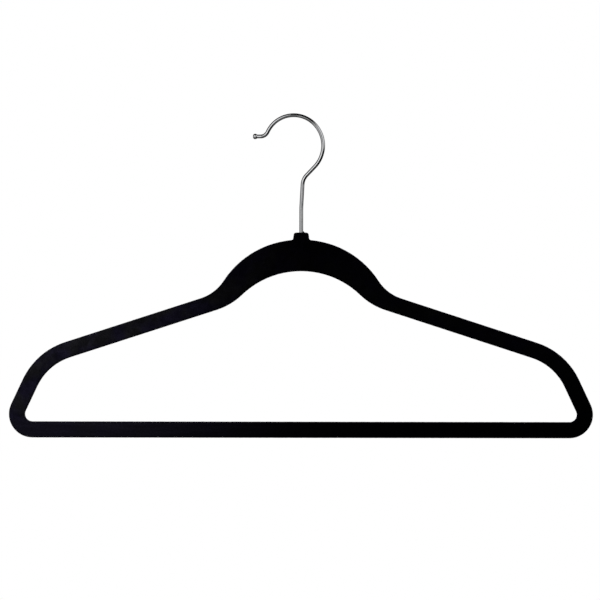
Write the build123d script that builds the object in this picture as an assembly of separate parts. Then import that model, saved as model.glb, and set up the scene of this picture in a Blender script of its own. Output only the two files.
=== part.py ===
"""A slim flocked clothes hanger with a trouser bar and a wire hook that swivels.

It is laid out with X = 0 on the swivel axis and Z = 0 under the trouser bar, then moved so that
the origin is the rail seat, the highest point inside the hook's bend.
+X runs along the shoulders, +Y through the thickness towards the back, and +Z up.
Sizes are millimetres and degrees.
"""

import os

from build123d import *

# Frame, seen from the front. Every limb is a ribbon of one width, so the outside and the window
# are concentric round the corners and shoulders, and part company only at the arch.
LIMB = 12.0
BAR_HALF = 204.7
CORNER_R = 17.8
END_LENGTH = 20.9
END_SLOPE = 64.8
SHOULDER_R = 53.7
ARM_SLOPE = 18.0
ARM_LENGTH = 109.0
NECK_R = 32.4
FLANK_SLOPE = 57.1
ARCH_R = 68.6
WINDOW_ARM_LENGTH = 117.9
WINDOW_NECK_R = 49.1
WINDOW_FLANK_SLOPE = 44.0
WINDOW_ARCH_R = 64.7

# Frame, through its thickness. The flock stands on a moulded core all round.
THICKNESS = 5.0
EDGE_R = 2.2
FLOCK = 0.5

# Boss on the arch: half width, half depth and height of each section. The lower two belong to
# the rib under it, which keeps its depth past the bore and then fades into the arch.
BOSS_TOP = 156.1
RIB_TOP = 141.0
BOSS_SECTIONS = [(5.3, 3.8, BOSS_TOP), (6.0, 4.2, 150.0), (6.2, 4.1, RIB_TOP), (6.6, 2.2, 131.5)]
BOSS_EDGE_R = 1.2
BOSS_ROOT_R = 1.2

# Hook wire, as a walk up its centre line: stem, lean, elbow, two arcs round the rail, and tip.
WIRE_R = 1.5
STEM_TOP = 173.3
LEAN_R = 65.0
LEAN = 3.1
LEAN_LENGTH = 16.2
ELBOW_R = 11.3
ELBOW = 40.5
RISE_LENGTH = 8.8
FAR_R = 23.5
FAR_ARC = 92.3
NEAR_R = 21.9
NEAR_ARC = 107.0
TIP_R = 5.7
TIP_LENGTH = 4.2
BEAD_R = 2.1
BEAD_LENGTH = 3.5
BEAD_EDGE_R = 1.5

# Swivel: the wire turns in a sleeve pressed into the boss, and a clip in its groove holds it.
RUNNING_GAP = 0.05
BORE_R = 2.25
BUSH_LENGTH = 8.0
BUSH_CHAMFER = 0.3
CLIP_THICKNESS = 0.8
CLIP_MOUTH = 1.7
END_GAP = 0.1
GROOVE_R = 1.05
GROOVE_PLAY = 0.05
WIRE_TAIL = 2.0
TAIL_CHAMFER = 0.4
FLOOR_GAP = 0.4

BUSH_TOP = BOSS_TOP - FLOCK
BUSH_FOOT = BUSH_TOP - BUSH_LENGTH
CLIP_TOP = BUSH_FOOT - END_GAP
CLIP_FOOT = CLIP_TOP - CLIP_THICKNESS
WIRE_FOOT = CLIP_FOOT - END_GAP - WIRE_TAIL
BORE_FOOT = WIRE_FOOT - FLOOR_GAP

ON_FOOT = (Align.CENTER, Align.CENTER, Align.MIN)


def column(radius, foot, top):
    """A round column on the swivel axis."""
    return Pos(0, 0, foot) * Cylinder(radius, top - foot, align=ON_FOOT)


def outline(base, inset, arm_length, neck_r, flank_slope, arch_r):
    """The face inside an outline, walked from the middle of the bar to the arch and mirrored."""
    bar = Line((0, base), (BAR_HALF, base))
    corner = JernArc(bar @ 1, bar % 1, CORNER_R - inset, 180 - END_SLOPE)
    end = PolarLine(corner @ 1, END_LENGTH, direction=corner % 1)
    shoulder = JernArc(end @ 1, end % 1, SHOULDER_R - inset, END_SLOPE - ARM_SLOPE)
    arm = PolarLine(shoulder @ 1, arm_length, direction=shoulder % 1)
    neck = JernArc(arm @ 1, arm % 1, neck_r, ARM_SLOPE - flank_slope)
    arch = JernArc(neck @ 1, neck % 1, arch_r, flank_slope)
    crown = Line(arch @ 1, (0, (arch @ 1).Y))
    half = [bar, corner, end, shoulder, arm, neck, arch, crown]
    return make_face(half + [mirror(run, Plane.YZ) for run in half])


def boss(inset):
    """The stub that takes the hook, with the rib under it that houses the bore."""
    sections = [
        Pos(0, 0, min(height, BOSS_TOP - inset)) * Ellipse(width - inset, depth - inset)
        for width, depth, height in BOSS_SECTIONS
    ]
    stub = loft(sections)
    return fillet(stub.edges().group_by(Axis.Z)[-1], BOSS_EDGE_R - inset)


def frame_solid(inset):
    """The whole frame with its boss, drawn in by inset on every side."""
    outside = outline(0, 0, ARM_LENGTH, NECK_R, FLANK_SLOPE, ARCH_R)
    window = outline(
        LIMB, LIMB, WINDOW_ARM_LENGTH, WINDOW_NECK_R, WINDOW_FLANK_SLOPE, WINDOW_ARCH_R
    )
    ring = outside - window
    if inset:
        ring = offset(ring, -inset)
    slab = extrude(Plane.XZ * ring, THICKNESS / 2 - inset, both=True)
    slab = fillet(slab.edges(), EDGE_R - inset)
    stub = boss(inset)
    body = slab + stub
    joins = new_edges(slab, stub, combined=body)
    root = [edge for edge in joins if edge.center().Z > RIB_TOP]
    return fillet(root, BOSS_ROOT_R + inset)


def hook_line():
    """The wire's centre line from foot to bead, and the centre of the arc that rests on the rail."""
    stem = Line((0, WIRE_FOOT), (0, STEM_TOP))
    lean = JernArc(stem @ 1, stem % 1, LEAN_R, -LEAN)
    leaning = PolarLine(lean @ 1, LEAN_LENGTH, direction=lean % 1)
    elbow = JernArc(leaning @ 1, leaning % 1, ELBOW_R, -ELBOW)
    rise = PolarLine(elbow @ 1, RISE_LENGTH, direction=elbow % 1)
    far = JernArc(rise @ 1, rise % 1, FAR_R, FAR_ARC)
    near = JernArc(far @ 1, far % 1, NEAR_R, NEAR_ARC)
    turned = FAR_ARC + NEAR_ARC - LEAN - ELBOW
    out = JernArc(near @ 1, near % 1, TIP_R, 90 - turned)
    tip = PolarLine(out @ 1, TIP_LENGTH, direction=out % 1)
    line = Wire([stem, lean, leaning, elbow, rise, far, near, out, tip])
    return Plane.XZ * line, Plane.XZ.from_local_coords(near.arc_center)


def hook_wire(line):
    """The bent wire with its headed end, its groove for the clip and its chamfered foot."""
    wire = sweep(Plane(line @ 0, z_dir=line % 0) * Circle(WIRE_R), path=line)
    wire = chamfer(wire.edges().group_by(Axis.Z)[0], TAIL_CHAMFER)
    groove = (CLIP_FOOT - GROOVE_PLAY, CLIP_TOP + GROOVE_PLAY)
    wire -= column(BORE_R, *groove) - column(GROOVE_R, *groove)
    bead = Cylinder(BEAD_R, BEAD_LENGTH)
    bead = fillet(bead.edges().filter_by(GeomType.CIRCLE), BEAD_EDGE_R)
    return wire + Plane(line @ 1, z_dir=line % 1) * bead


def swivel_bush():
    """The sleeve pressed into the boss, with a lead-in outside and a relieved mouth inside."""
    sleeve = column(BORE_R, BUSH_FOOT, BUSH_TOP) - column(
        WIRE_R + RUNNING_GAP, BUSH_FOOT, BUSH_TOP
    )
    foot_rim = sleeve.edges().group_by(Axis.Z)[0].sort_by(SortBy.RADIUS)[-1]
    mouth_rim = sleeve.edges().group_by(Axis.Z)[-1].sort_by(SortBy.RADIUS)[0]
    return chamfer([foot_rim, mouth_rim], BUSH_CHAMFER)


def retaining_clip():
    """The open ring that sits in the wire's groove under the bush."""
    ring = column(BORE_R - RUNNING_GAP, CLIP_FOOT, CLIP_TOP) - column(
        GROOVE_R, CLIP_FOOT, CLIP_TOP
    )
    mouth = Pos(0, 0, CLIP_FOOT) * Box(
        BORE_R, CLIP_MOUTH, CLIP_THICKNESS, align=(Align.MAX, Align.CENTER, Align.MIN)
    )
    return ring - mouth


line, rest_centre = hook_line()
seat = rest_centre + Vector(0, 0, NEAR_R - WIRE_R)

skin = frame_solid(0)
core = frame_solid(FLOCK)
bore = column(BORE_R, BORE_FOOT, BOSS_TOP)

nodes = {
    "frame_core": core - bore,
    "flock_coat": skin - core - bore,
    "hook_wire": hook_wire(line),
    "swivel_bush": swivel_bush(),
    "retaining_clip": retaining_clip(),
}

os.makedirs("parts", exist_ok=True)
for name, shape in nodes.items():
    placed = Pos(-seat) * shape
    placed.label = name
    export_step(placed, f"parts/{name}.step")
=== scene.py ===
"""The looks of a flocked clothes hanger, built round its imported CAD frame.

Everything is in metres, in the frame's own axes: the origin is the rail seat, +X runs along the
shoulders, +Y points to the back and +Z up.
"""

import math

import bmesh
import bpy
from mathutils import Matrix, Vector, noise

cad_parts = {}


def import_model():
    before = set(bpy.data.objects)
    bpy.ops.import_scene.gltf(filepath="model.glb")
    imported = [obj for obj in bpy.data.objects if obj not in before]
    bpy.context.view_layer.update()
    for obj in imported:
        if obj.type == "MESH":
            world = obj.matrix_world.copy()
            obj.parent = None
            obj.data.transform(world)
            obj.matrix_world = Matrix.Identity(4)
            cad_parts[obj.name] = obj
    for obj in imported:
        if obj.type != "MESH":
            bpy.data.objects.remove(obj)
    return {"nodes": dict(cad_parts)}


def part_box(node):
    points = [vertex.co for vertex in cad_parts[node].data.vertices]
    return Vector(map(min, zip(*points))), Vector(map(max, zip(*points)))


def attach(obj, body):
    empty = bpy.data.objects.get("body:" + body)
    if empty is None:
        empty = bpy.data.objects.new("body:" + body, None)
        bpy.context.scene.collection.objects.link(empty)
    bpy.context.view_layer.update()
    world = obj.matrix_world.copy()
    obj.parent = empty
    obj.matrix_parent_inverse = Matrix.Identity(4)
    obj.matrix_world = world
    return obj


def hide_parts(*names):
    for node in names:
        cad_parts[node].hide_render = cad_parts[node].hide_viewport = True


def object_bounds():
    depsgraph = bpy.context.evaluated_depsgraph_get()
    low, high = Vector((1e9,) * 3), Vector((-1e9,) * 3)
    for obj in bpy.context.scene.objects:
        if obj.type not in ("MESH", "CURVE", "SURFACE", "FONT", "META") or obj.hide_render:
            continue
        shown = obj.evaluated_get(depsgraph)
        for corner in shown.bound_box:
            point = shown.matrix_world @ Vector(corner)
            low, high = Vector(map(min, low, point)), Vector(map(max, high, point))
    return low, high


MM = 0.001

# Camera: a long lens, level with a point a little below the middle of the hanger. The field is
# what it takes in, across, at the hanger.
LENS_MM = 120.0
SENSOR_MM = 36.0
FIELD = 457.5 * MM
AIM_OFFSET = Vector((-0.85, 0, -18.7)) * MM
ROLL = math.radians(-0.09)

# Flock: an even skin of small faces outside, and a coarser one against the core inside. A plug
# fills the bore while they are made. The pile stands a little prouder in a collar round the hook.
PILE_VOXEL = 0.70 * MM
LINING_VOXEL = 1.5 * MM
LINING_GAP = 0.05 * MM
PLUG_MARGIN = 0.5 * MM
PILE_PROUD = 0.17 * MM
COLLAR = 0.13 * MM
COLLAR_REACH = (7 * MM, 17 * MM)

# Relief of the pile: how far apart its swells, clumps and fibre ends are, how high each of them
# stands, and where its noise is read.
RELIEF = [
    (11 * MM, 0.02 * MM, Vector((0, 0, 0))),
    (2.2 * MM, 0.04 * MM, Vector((7, 3, 5))),
    (0.8 * MM, 0.05 * MM, Vector((1, 9, 4))),
]

# Top of the boss: the pile rolls up round the wire's hole, and a tuft of it leans on the wire.
# The faces there are divided, and only points that close to the top are lifted.
RIM_R = 1.75 * MM
RIM_ROLL = 0.25 * MM
RIM_WIDTH = 1 * MM
RIM_DEPTH = 3 * MM
FINE_R = 5 * MM
FINE_DEPTH = 0.8 * MM
LIFT_DEPTH = 1 * MM
TUFT_AT = Vector((1.75, -0.75, 0)) * MM
TUFT_R = 0.6 * MM
TUFT_HEIGHT = 1.0 * MM
TUFT_LUMP = 1.1 * MM
TUFT_LUMPINESS = 0.15

# Marks in the flock, by size, and the bar's share of the hanger's height, where they run along it.
BAR_DEPTH = 12 * MM
BAR_FADE = (-1 * MM, 5 * MM)
BAR_STRETCH = (0.07, 1, 1)
HUE_SIZE = 14 * MM
PATCH_SIZE = 8 * MM
STREAK_SIZE = 2.2 * MM
CLUMP_SIZE = 0.9 * MM
FIBRE_SIZE = 0.35 * MM

# Floor: a disc far below, which fades out into the white surround.
FLOOR_DROP = 1.2
FLOOR_REACH = 2.6
FLOOR_SOLID = 0.9
FLOOR_GRAIN = 0.25
FLOOR_LAMP_UP = 3
FLOOR_LAMP_SIZE = 4
FLOOR_LAMP_POWER = 420

# Surround: white behind the hanger, and dim and cool as the flock's fill light.
BACKDROP = 1.0
AMBIENT = 0.005
AMBIENT_TINT = (0.9, 0.9, 1, 1)

# Beams: a strong one on the left arm and a faint one on the right arm, from above the camera.
# Each aims at a point measured from the foot of the hanger, at its left end or its middle.
BEAM_FROM = Vector((0, -0.94, 0.34))
LEFT_AIM = Vector((16, 0, 78)) * MM
LEFT_SIZE = 276 * MM
LEFT_POWER = 0.112
LEFT_SPREAD = 14.5
RIGHT_AIM = Vector((130, 0, 95)) * MM
RIGHT_WIDTH = 240 * MM
RIGHT_HEIGHT = 90 * MM
RIGHT_POWER = 0.0035
RIGHT_SPREAD = 5

# Lamps behind, one on each side, which light the flock's edges.
BACK_OUT = 0.95
BACK_BEHIND = 0.85
BACK_ABOVE = 0.8
BACK_SIZE = 0.5
BACK_POWER = 11

# Strip lamp: an upright tube in front of the hook's tip, which only the wire mirrors.
STRIP_OUT = 300 * MM
STRIP_RISE = 25 * MM
STRIP_WIDTH = 20 * MM
STRIP_HEIGHT = 444 * MM
STRIP_POWER = 0.018

# The studio that the wire mirrors, laid out as a round wire seen from the front shows it. Three
# panels stand round it: the bearing of each, in degrees from +X towards +Z, half its width in
# degrees, and its grey. Their edges fade over some degrees more.
FLOOR_PANEL = (-90, 40, 0.1)
RIGHT_PANEL = (25, 10, 0.7)
LEFT_PANEL = (185, 25, 0.4)
PANEL_FADE = 20

# Reaches across the studio are distances from the middle of the wire, or of the soft box, where 1
# is the wire's edge: a grey front, a soft box by the camera, up and to the left, a dark ring near
# the wire's edge, and the white wall behind.
FRONT_REACH = (0.05, 0.25)
FRONT_GREY = 0.12
SOFT_BOX_AT = (-0.20, 0.19)
SOFT_BOX_REACH = (0.09, 0.22)
SOFT_BOX_GREY = 1.1
DARK_RING = (0.62, 0.78)
DARK_RING_GREY = 0.01
BACK_WALL = (0.95, 0.99)


def plain_grey(level):
    """A grey as a colour."""
    return (level, level, level, 1)


class Tree:
    """A node tree, with short calls for the nodes that the materials share."""

    def __init__(self, owner):
        owner.use_nodes = True
        self.tree = owner.node_tree
        self.tree.nodes.clear()

    def node(self, kind, inputs=(), **settings):
        """A node with its settings, and inputs that are either values or other nodes' outputs."""
        made = self.tree.nodes.new(kind)
        for name, value in settings.items():
            setattr(made, name, value)
        for name, value in dict(inputs).items():
            if isinstance(value, bpy.types.NodeSocket):
                self.tree.links.new(value, made.inputs[name])
            else:
                made.inputs[name].default_value = value
        return made

    def place(self):
        """Where a point is on the object, in metres."""
        return self.node("ShaderNodeTexCoord").outputs["Object"]

    def noise(self, place, size, detail=2.0, roughness=0.5, distortion=0.0):
        """Grey noise with blotches of about that size."""
        inputs = {
            "Vector": place,
            "Scale": 1 / size,
            "Detail": detail,
            "Roughness": roughness,
            "Distortion": distortion,
        }
        return self.node("ShaderNodeTexNoise", inputs).outputs["Fac"]

    def ramp(self, factor, stops):
        """A colour ramp through stops of (position, grey or colour)."""
        made = self.node("ShaderNodeValToRGB", {"Fac": factor})
        band = made.color_ramp
        while len(band.elements) < len(stops):
            band.elements.new(0.5)
        for element, (position, colour) in zip(band.elements, stops):
            element.position = position
            is_grey = isinstance(colour, (int, float))
            element.color = plain_grey(colour) if is_grey else (*colour, 1)
        return made.outputs["Color"]

    def maths(self, operation, *values):
        made = self.node("ShaderNodeMath", dict(enumerate(values)), operation=operation)
        return made.outputs["Value"]

    def vector(self, operation, *values):
        made = self.node("ShaderNodeVectorMath", dict(enumerate(values)), operation=operation)
        gives_number = operation in ("LENGTH", "DISTANCE", "DOT_PRODUCT")
        return made.outputs["Value" if gives_number else "Vector"]

    def span(self, value, low, high, to_low=0.0, to_high=1.0):
        """Value from low to high, eased, as to_low to to_high."""
        inputs = {"Value": value, 1: low, 2: high, 3: to_low, 4: to_high}
        made = self.node("ShaderNodeMapRange", inputs, interpolation_type="SMOOTHSTEP")
        return made.outputs["Result"]

    def panel(self, outward, bearing, reach, grey):
        """The brightness of a soft-edged panel, for a direction outward from the wire."""
        angle = math.radians(bearing)
        facing = self.vector("DOT_PRODUCT", outward, (math.cos(angle), 0, math.sin(angle)))
        fade = math.cos(math.radians(reach + PANEL_FADE))
        return self.span(facing, fade, math.cos(math.radians(reach)), 0, grey)

    def mix(self, factor, a, b, blend="MIX"):
        """Colour a where the factor is 0 and b where it is 1."""
        inputs = {"Factor": factor, 6: a, 7: b}
        made = self.node("ShaderNodeMix", inputs, data_type="RGBA", blend_type=blend)
        return made.outputs[2]

    def bump(self, height, distance, under=None):
        """A normal roughened by a height map, on top of the normal under it."""
        inputs = {"Height": height, "Distance": distance}
        if under is not None:
            inputs["Normal"] = under
        return self.node("ShaderNodeBump", inputs).outputs["Normal"]

    def surface(self, **inputs):
        """A principled surface with those inputs, wired to the output."""
        named = {name.replace("_", " ").title(): value for name, value in inputs.items()}
        if "Specular Level" in named:
            named["Specular IOR Level"] = named.pop("Specular Level")
        self.output(self.node("ShaderNodeBsdfPrincipled", named).outputs[0])

    def mix_shaders(self, factor, a, b):
        """Shader a where the factor is 0 and b where it is 1."""
        return self.node("ShaderNodeMixShader", {0: factor, 1: a, 2: b}).outputs[0]

    def background(self, colour, strength=1.0):
        inputs = {"Color": colour, "Strength": strength}
        return self.node("ShaderNodeBackground", inputs).outputs[0]

    def output(self, shader, kind="ShaderNodeOutputMaterial"):
        self.node(kind, {"Surface": shader})


def flock_material(bar_top):
    """Short black pile: violet and grey brushed patches, lengthwise on the bar, and fibre ends."""
    material = bpy.data.materials.new("black_flock")
    t = Tree(material)
    place = t.place()
    height = t.node("ShaderNodeSeparateXYZ", {0: place}).outputs["Z"]
    fade_low, fade_high = BAR_FADE
    on_bar = t.span(height, bar_top + fade_low, bar_top + fade_high, 1, 0)
    along = t.vector("MULTIPLY", place, BAR_STRETCH)
    patches = t.noise(place, PATCH_SIZE, detail=3, roughness=0.55, distortion=0.6)
    streaks = t.span(t.noise(along, STREAK_SIZE, detail=2), 0.3, 0.7, 0.42, 0.58)
    nap = t.mix(on_bar, patches, streaks)
    mottle = t.noise(place, HUE_SIZE, detail=2)
    tone = t.mix(t.maths("MULTIPLY", on_bar, 0.8), mottle, plain_grey(0.52))
    grain = t.noise(place, CLUMP_SIZE, detail=3, roughness=0.7)
    fibre = t.noise(place, FIBRE_SIZE, detail=2, roughness=0.7)
    hue = t.ramp(tone, [(0.40, (0.0124, 0.0121, 0.0146)), (0.60, (0.0116, 0.0102, 0.0220))])
    brushed = t.ramp(nap, [(0.32, 0.58), (0.50, 0.90), (0.68, 1.30)])
    speckle = t.ramp(grain, [(0.35, 0.65), (0.65, 1.4)])
    colour = t.mix(1.0, t.mix(1.0, hue, brushed, "MULTIPLY"), speckle, "MULTIPLY")
    rough = t.span(grain, 0.3, 0.7, 0.92, 1.0)
    clumps = t.bump(grain, 0.18 * MM)
    pile = t.bump(fibre, 0.10 * MM, under=clumps)
    t.surface(
        base_color=colour,
        roughness=rough,
        specular_level=0.05,
        sheen_weight=0.05,
        sheen_roughness=0.4,
        sheen_tint=(0.62, 0.62, 0.66, 1),
        normal=pile,
    )
    return material


def chrome_material():
    """Bright plate on drawn wire, with faint ripple, fine rubbing marks and a little haze."""
    material = bpy.data.materials.new("bright_chrome")
    t = Tree(material)
    place = t.place()
    ripple = t.noise(place, 5 * MM, detail=2)
    rubs = t.noise(place, 0.4 * MM, detail=4, roughness=0.7, distortion=1.5)
    haze = t.noise(place, 8 * MM, detail=2)
    rough = t.maths("ADD", t.span(haze, 0.35, 0.65, 0.02, 0.05), t.span(rubs, 0.5, 0.8, 0.0, 0.06))
    tint = t.ramp(haze, [(0.3, (0.78, 0.79, 0.81)), (0.7, (0.86, 0.86, 0.86))])
    wavy = t.bump(ripple, 0.03 * MM)
    t.surface(
        base_color=tint,
        metallic=1.0,
        roughness=rough,
        normal=t.bump(rubs, 0.002 * MM, under=wavy),
    )
    return material


def core_material():
    """Black moulded plastic with a fine matt texture."""
    material = bpy.data.materials.new("moulded_core")
    t = Tree(material)
    place = t.place()
    grain = t.noise(place, 0.5 * MM, detail=3)
    cloud = t.noise(place, 12 * MM)
    t.surface(
        base_color=t.ramp(cloud, [(0.3, (0.017, 0.017, 0.019)), (0.7, (0.024, 0.024, 0.026))]),
        roughness=t.span(grain, 0.3, 0.7, 0.5, 0.7),
        normal=t.bump(grain, 0.05 * MM),
    )
    return material


def bush_material():
    """Smooth black acetal with a fine grain, a little glossy all over."""
    material = bpy.data.materials.new("bush_acetal")
    t = Tree(material)
    place = t.place()
    grain = t.noise(place, 0.3 * MM, detail=2)
    t.surface(
        base_color=t.ramp(grain, [(0.3, (0.026, 0.026, 0.028)), (0.7, (0.034, 0.034, 0.036))]),
        roughness=t.span(grain, 0.3, 0.7, 0.25, 0.4),
        normal=t.bump(grain, 0.01 * MM),
    )
    return material


def clip_material():
    """Zinc-plated spring steel with rolling marks."""
    material = bpy.data.materials.new("clip_steel")
    t = Tree(material)
    place = t.place()
    grain = t.noise(place, 0.15 * MM, detail=3, distortion=1.0)
    t.surface(
        base_color=t.ramp(grain, [(0.3, (0.46, 0.46, 0.45)), (0.7, (0.56, 0.56, 0.54))]),
        metallic=1.0,
        roughness=t.span(grain, 0.3, 0.7, 0.25, 0.45),
        normal=t.bump(grain, 0.01 * MM),
    )
    return material


def floor_material():
    """Matt pale floor that fades out towards the white surround."""
    material = bpy.data.materials.new("pale_floor")
    t = Tree(material)
    place = t.place()
    grain = t.noise(place, FLOOR_GRAIN, detail=3)
    tint = t.ramp(grain, [(0.3, 0.88), (0.7, 0.90)])
    matt = t.node("ShaderNodeBsdfDiffuse", {"Color": tint}).outputs[0]
    clear = t.node("ShaderNodeBsdfTransparent").outputs[0]
    fade = t.span(t.vector("LENGTH", place), FLOOR_SOLID, FLOOR_REACH)
    t.output(t.mix_shaders(fade, matt, clear))
    return material


def world():
    """White behind the object, a dim room for the flock and a studio of panels for the chrome.

    What the wire mirrors is laid out by the normal that mirrors it: the half way direction between
    the reflected ray and the front.
    """
    made = bpy.data.worlds.new("studio")
    t = Tree(made)
    heading = t.node("ShaderNodeTexCoord").outputs["Generated"]
    towards_camera = t.vector("SUBTRACT", heading, (0, 1, 0))
    mirror = t.vector("NORMALIZE", towards_camera)
    across = t.vector("MULTIPLY", mirror, (1, 0, 1))
    outward = t.vector("NORMALIZE", across)
    panels = 0.0
    for panel in (FLOOR_PANEL, RIGHT_PANEL, LEFT_PANEL):
        panels = t.maths("ADD", panels, t.panel(outward, *panel))
    off_axis = t.vector("LENGTH", across)
    fronted = t.mix(t.span(off_axis, *FRONT_REACH, 1, 0), panels, plain_grey(FRONT_GREY))
    box_x, box_z = SOFT_BOX_AT
    from_box = t.vector("DISTANCE", across, (box_x, 0, box_z))
    boxed = t.mix(t.span(from_box, *SOFT_BOX_REACH, 1, 0), fronted, plain_grey(SOFT_BOX_GREY))
    ringed = t.mix(t.span(off_axis, *DARK_RING), boxed, plain_grey(DARK_RING_GREY))
    mirrored = t.mix(t.span(off_axis, *BACK_WALL), ringed, plain_grey(BACKDROP))
    path = t.node("ShaderNodeLightPath").outputs
    ambient = t.background(AMBIENT_TINT, AMBIENT)
    reflected = t.mix_shaders(path["Is Glossy Ray"], ambient, t.background(mirrored))
    white = t.background(plain_grey(1), BACKDROP)
    seen = t.mix_shaders(path["Is Camera Ray"], reflected, white)
    t.output(seen, "ShaderNodeOutputWorld")
    bpy.context.scene.world = made
    bpy.context.scene.view_settings.view_transform = "Standard"


def linked(name, data):
    """A new object in the scene that shows this data."""
    made = bpy.data.objects.new(name, data)
    bpy.context.scene.collection.objects.link(made)
    return made


def even_mesh(name, sources, voxel):
    """The outside of closed meshes that touch, as one mesh of even faces."""
    joined = bmesh.new()
    for source in sources:
        joined.from_mesh(source)
    mesh = bpy.data.meshes.new(name)
    joined.to_mesh(mesh)
    joined.free()
    holder = linked(name, mesh)
    remesh = holder.modifiers.new("even", "REMESH")
    remesh.mode = "VOXEL"
    remesh.voxel_size = voxel
    graph = bpy.context.evaluated_depsgraph_get()
    even = bpy.data.meshes.new_from_object(holder.evaluated_get(graph), depsgraph=graph)
    bpy.data.objects.remove(holder)
    return even


def plug_mesh(axis, foot, top, radius):
    """A short column that fills the bore while the skin is remeshed."""
    column = bmesh.new()
    bmesh.ops.create_cone(
        column, cap_ends=True, segments=32, radius1=radius, radius2=radius, depth=top - foot
    )
    bmesh.ops.translate(column, verts=column.verts, vec=(axis.x, axis.y, (foot + top) / 2))
    mesh = bpy.data.meshes.new("plug")
    column.to_mesh(mesh)
    column.free()
    return mesh


def from_axis(point, axis):
    """How far a point is from the upright axis."""
    return math.hypot(point.x - axis.x, point.y - axis.y)


def open_rim(skin, axis, radius, top):
    """Cuts the wire's hole in a skin and makes its edge round."""
    hole = [
        face
        for face in skin.faces
        if from_axis(face.calc_center_median(), axis) < radius
        and face.calc_center_median().z > top - RIM_DEPTH
    ]
    bmesh.ops.delete(skin, geom=hole, context="FACES")
    rim = [edge for edge in skin.edges if edge.is_boundary]
    for vert in {vert for edge in rim for vert in edge.verts}:
        out = Vector((vert.co.x - axis.x, vert.co.y - axis.y, 0)).normalized() * radius
        vert.co.x = axis.x + out.x
        vert.co.y = axis.y + out.y


def eased(value, low, high):
    """0 below low, 1 above high, and a smooth step between."""
    share = min(max((value - low) / (high - low), 0), 1)
    return share * share * (3 - 2 * share)


def pile_height(point, axis):
    """How far the pile's tips stand off the coat, with their relief and the collar."""
    relief = sum(height * noise.noise(point / size + shift) for size, height, shift in RELIEF)
    collar = COLLAR * (1 - eased((point - axis).length, *COLLAR_REACH))
    return PILE_PROUD + collar + relief


def rim_rise(point, axis):
    """The pile's roll round the wire on top of the boss, and a loose tuft that leans on the wire."""
    ring = RIM_ROLL * (1 - eased(from_axis(point, axis), RIM_R, RIM_R + RIM_WIDTH))
    level = Vector((point.x - axis.x, point.y - axis.y, 0))
    tuft = TUFT_HEIGHT * math.exp(-(((level - TUFT_AT).length / TUFT_R) ** 2))
    return ring + tuft * (1 + TUFT_LUMPINESS * noise.noise(point / TUFT_LUMP))


def divide_top(skin, axis, top):
    """Divides the faces on top of the boss, where the rim and the tuft need them."""
    on_top = {
        vert
        for vert in skin.verts
        if vert.co.z > top - FINE_DEPTH and from_axis(vert.co, axis) < FINE_R
    }
    near = [edge for edge in skin.edges if on_top.issuperset(edge.verts)]
    bmesh.ops.subdivide_edges(skin, edges=near, cuts=2, use_grid_fill=True)


def raise_skin(skin, lift):
    """Moves each point of a skin out along its normal by lift(place)."""
    skin.normal_update()
    moves = [(vert, vert.normal * lift(vert.co)) for vert in skin.verts]
    for vert, move in moves:
        vert.co += move


def flock_mesh(coat, core, axis, foot, top, bush_top):
    """The coat as a closed shell: worked pile outside, a plain lining inside, joined at the rim."""
    shell = bmesh.new()
    plug = plug_mesh(axis, foot - PLUG_MARGIN, bush_top, RIM_R + PLUG_MARGIN)
    shell.from_mesh(even_mesh("lining", [core.data, plug], LINING_VOXEL))
    raise_skin(shell, lambda place: LINING_GAP)
    open_rim(shell, axis, RIM_R, bush_top)
    bmesh.ops.reverse_faces(shell, faces=shell.faces)
    pile = bmesh.new()
    pile.from_mesh(even_mesh("pile", [coat.data, core.data, plug], PILE_VOXEL))
    divide_top(pile, axis, top)
    raise_skin(pile, lambda place: pile_height(place, Vector((axis.x, axis.y, top))))
    open_rim(pile, axis, RIM_R, top)
    for vert in pile.verts:
        if vert.co.z > top - LIFT_DEPTH:
            vert.co.z += rim_rise(vert.co, axis)
    mesh = bpy.data.meshes.new("flock_pile")
    pile.to_mesh(mesh)
    pile.free()
    shell.from_mesh(mesh)
    rims = [edge for edge in shell.edges if edge.is_boundary]
    bmesh.ops.bridge_loops(shell, edges=rims)
    bmesh.ops.recalc_face_normals(shell, faces=shell.faces)
    shell.to_mesh(mesh)
    shell.free()
    mesh.shade_smooth()
    return mesh


def camera(bounds):
    """The camera, in front of the middle of the object and level with it."""
    low, high = bounds
    distance = FIELD * LENS_MM / SENSOR_MM
    data = bpy.data.cameras.new("camera")
    data.lens = LENS_MM
    data.sensor_width = SENSOR_MM
    made = linked("camera", data)
    aim = (low + high) / 2 + AIM_OFFSET
    made.location = aim - Vector((0, distance, 0))
    made.rotation_euler = (math.pi / 2, ROLL, 0)
    bpy.context.scene.camera = made


def floor(bounds):
    """The disc under the object, which lights neither the flock nor the wire."""
    low, high = bounds
    mesh = bpy.data.meshes.new("floor")
    disc = bmesh.new()
    bmesh.ops.create_circle(disc, cap_ends=True, segments=96, radius=FLOOR_REACH)
    disc.to_mesh(mesh)
    disc.free()
    made = linked("floor", mesh)
    made.location = ((low.x + high.x) / 2, 0, low.z - FLOOR_DROP)
    mesh.materials.append(floor_material())
    made.visible_diffuse = False
    made.visible_glossy = False
    return made


def area_light(name, place, aim, size, power, height=None, spread=180, glossy=False):
    """A round lamp of that size across, or a strip of that width where it has a height."""
    data = bpy.data.lights.new(name, "AREA")
    data.shape = "RECTANGLE" if height else "DISK"
    data.size = size
    data.size_y = height or size
    data.energy = power
    data.spread = math.radians(spread)
    made = linked(name, data)
    made.location = place
    made.rotation_euler = (Vector(aim) - Vector(place)).to_track_quat("-Z", "Y").to_euler()
    made.visible_glossy = glossy
    made.visible_camera = False
    return made


def only_on(lamp, *objects):
    """Lets a lamp light nothing but these objects."""
    receivers = bpy.data.collections.new(lamp.name + "_only")
    for obj in objects:
        receivers.objects.link(obj)
    lamp.light_linking.receiver_collection = receivers


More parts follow.
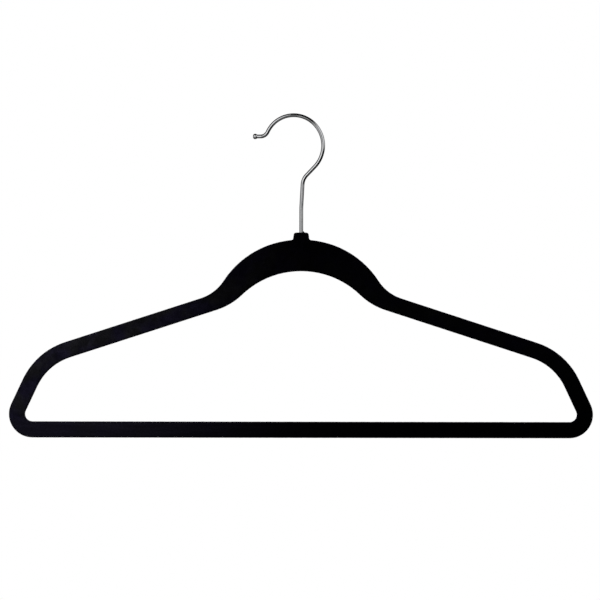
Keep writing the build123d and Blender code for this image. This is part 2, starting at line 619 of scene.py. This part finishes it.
def lights(bounds, ground, wire, wire_box):
    """Beams on the arms, lamps behind for the edges, and lamps for the floor and the wire alone."""
    low, high = bounds
    middle = (low + high) / 2
    left = Vector((low.x, 0, low.z)) + LEFT_AIM
    area_light("left_beam", left + BEAM_FROM, left, LEFT_SIZE, LEFT_POWER, spread=LEFT_SPREAD)
    right = Vector((middle.x, 0, low.z)) + RIGHT_AIM
    area_light(
        "right_beam",
        right + BEAM_FROM,
        right,
        RIGHT_WIDTH,
        RIGHT_POWER,
        height=RIGHT_HEIGHT,
        spread=RIGHT_SPREAD,
    )
    for side, name in ((-1, "back_left_lamp"), (1, "back_right_lamp")):
        place = middle + Vector((side * BACK_OUT, BACK_BEHIND, BACK_ABOVE))
        area_light(name, place, middle, BACK_SIZE, BACK_POWER)
    over = Vector((0, 0, FLOOR_LAMP_UP))
    only_on(area_light("floor_lamp", over, Vector(), FLOOR_LAMP_SIZE, FLOOR_LAMP_POWER), ground)
    wire_low, wire_high = wire_box
    tip = Vector((wire_low.x, 0, wire_high.z + STRIP_RISE))
    strip = area_light(
        "strip_lamp",
        tip - Vector((0, STRIP_OUT, 0)),
        tip,
        STRIP_WIDTH,
        STRIP_POWER,
        height=STRIP_HEIGHT,
        glossy=True,
    )
    only_on(strip, wire)


def paint(obj, material):
    """Gives an object this one material."""
    obj.data.materials.clear()
    obj.data.materials.append(material)


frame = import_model()
cad_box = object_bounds()
nodes = frame["nodes"]

bush_low, bush_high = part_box("swivel_bush")
coat_low, coat_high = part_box("flock_coat")
wire_low, wire_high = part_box("hook_wire")
axis = (bush_low + bush_high) / 2
top = coat_high.z

flock = linked(
    "flock_pile",
    flock_mesh(nodes["flock_coat"], nodes["frame_core"], axis, wire_low.z, top, bush_high.z),
)
paint(flock, flock_material(coat_low.z + BAR_DEPTH))
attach(flock, "hanger_frame")
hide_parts("flock_coat")

paint(nodes["frame_core"], core_material())
paint(nodes["hook_wire"], chrome_material())
paint(nodes["swivel_bush"], bush_material())
paint(nodes["retaining_clip"], clip_material())

world()
camera(cad_box)
lights(cad_box, floor(cad_box), nodes["hook_wire"], (wire_low, wire_high))
